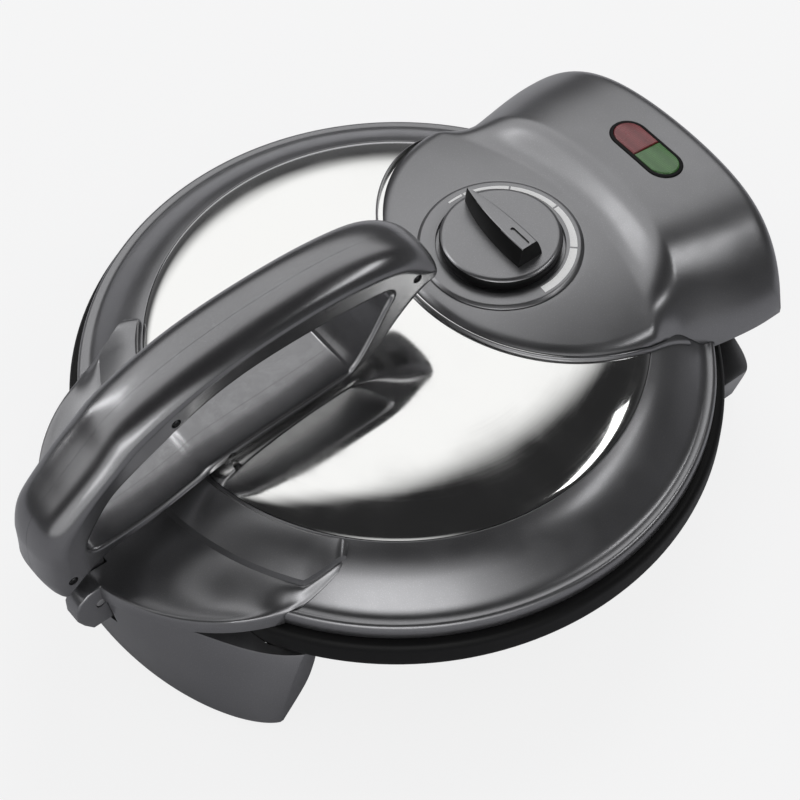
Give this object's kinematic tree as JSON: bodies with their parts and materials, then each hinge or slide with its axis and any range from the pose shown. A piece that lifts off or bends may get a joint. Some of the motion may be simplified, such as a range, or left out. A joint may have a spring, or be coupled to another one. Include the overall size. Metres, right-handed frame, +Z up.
{
  "type": "electric roti maker",
  "caption": "Round electric roti maker with a hinged domed lid, a fold-over press handle, a thermostat knob and a two-colour lamp window on the rear head.",
  "frame": {"origin": "centre of the overall box at the underside of the rubber pads", "axes": "+Y runs from the press handle's pivot at the front to the hinge at the back, +Z up, +X to the right seen from the front"},
  "size_m": [0.3196, 0.398, 0.1756],
  "materials": {
    "grey_plastic": "dark grey metallic plastic with a soft gloss",
    "black_plastic": "black moulded plastic, satin",
    "polished_steel": "mirror-polished stainless steel",
    "dark_coating": "dark non-stick coating on cast aluminium",
    "plated_steel": "zinc-plated steel",
    "black_rubber": "matt black rubber",
    "ivory_plastic": "ivory heat-proof plastic",
    "red_lens": "translucent red lens",
    "green_lens": "translucent green lens"
  },
  "bodies": {
    "base": {"base_shell": "black_plastic", "bottom_cover": "black_plastic", "cover_screw_1": "plated_steel", "cover_screw_2": "plated_steel", "cover_screw_3": "plated_steel", "cover_screw_4": "plated_steel", "front_foot": "grey_plastic", "rear_foot": "grey_plastic", "rubber_pad_front_left": "black_rubber", "rubber_pad_front_right": "black_rubber", "rubber_pad_rear_left": "black_rubber", "rubber_pad_rear_right": "black_rubber", "lower_plate": "dark_coating", "lower_heater": "plated_steel", "lower_shield": "plated_steel", "lower_stud_1": "plated_steel", "lower_stud_2": "plated_steel", "lower_stud_3": "plated_steel", "shield_post_1": "black_plastic", "shield_post_2": "black_plastic", "shield_post_3": "black_plastic", "cord_gland": "black_plastic", "terminal_block": "ivory_plastic", "base_hinge_left": "plated_steel", "base_hinge_right": "plated_steel", "hinge_pin_left": "plated_steel", "hinge_pin_right": "plated_steel"},
    "lid": {"lid_ring": "grey_plastic", "dome": "polished_steel", "lid_pan": "black_plastic", "upper_plate": "dark_coating", "upper_heater": "plated_steel", "upper_shield": "plated_steel", "upper_stud_1": "plated_steel", "upper_stud_2": "plated_steel", "upper_stud_3": "plated_steel", "front_bracket": "grey_plastic", "head_cover": "grey_plastic", "head_trim": "grey_plastic", "head_base": "black_plastic", "lid_hinge_left": "plated_steel", "lid_hinge_right": "plated_steel", "dial_plate": "grey_plastic", "thermostat_body": "ivory_plastic", "thermostat_plate": "plated_steel", "lens_frame": "black_plastic", "lens_red": "red_lens", "lens_green": "green_lens", "lamp_red": "ivory_plastic", "lamp_green": "ivory_plastic"},
    "handle": {"handle_left": "grey_plastic", "handle_right": "grey_plastic", "handle_pin": "plated_steel", "handle_screw_1": "plated_steel", "handle_screw_2": "plated_steel", "handle_screw_3": "plated_steel", "handle_screw_4": "plated_steel"},
    "knob": {"thermostat_knob": "grey_plastic", "knob_shaft": "plated_steel"}
  },
  "joints": [
    {"name": "lid_hinge", "type": "hinge", "parent": "base", "child": "lid", "pos_m": [0, 0.186, 0.058], "axis": [-1, 0, 0], "range_deg": [0, 100]},
    {"name": "press_handle_hinge", "type": "hinge", "parent": "lid", "child": "handle", "pos_m": [0, -0.178, 0.06], "axis": [1, 0, 0], "range_deg": [0, 95]},
    {"name": "thermostat_turn", "type": "hinge", "parent": "lid", "child": "knob", "pos_m": [0, 0.075, 0.107], "axis": [0, 0, -1], "range_deg": [0, 178]}
  ]
}
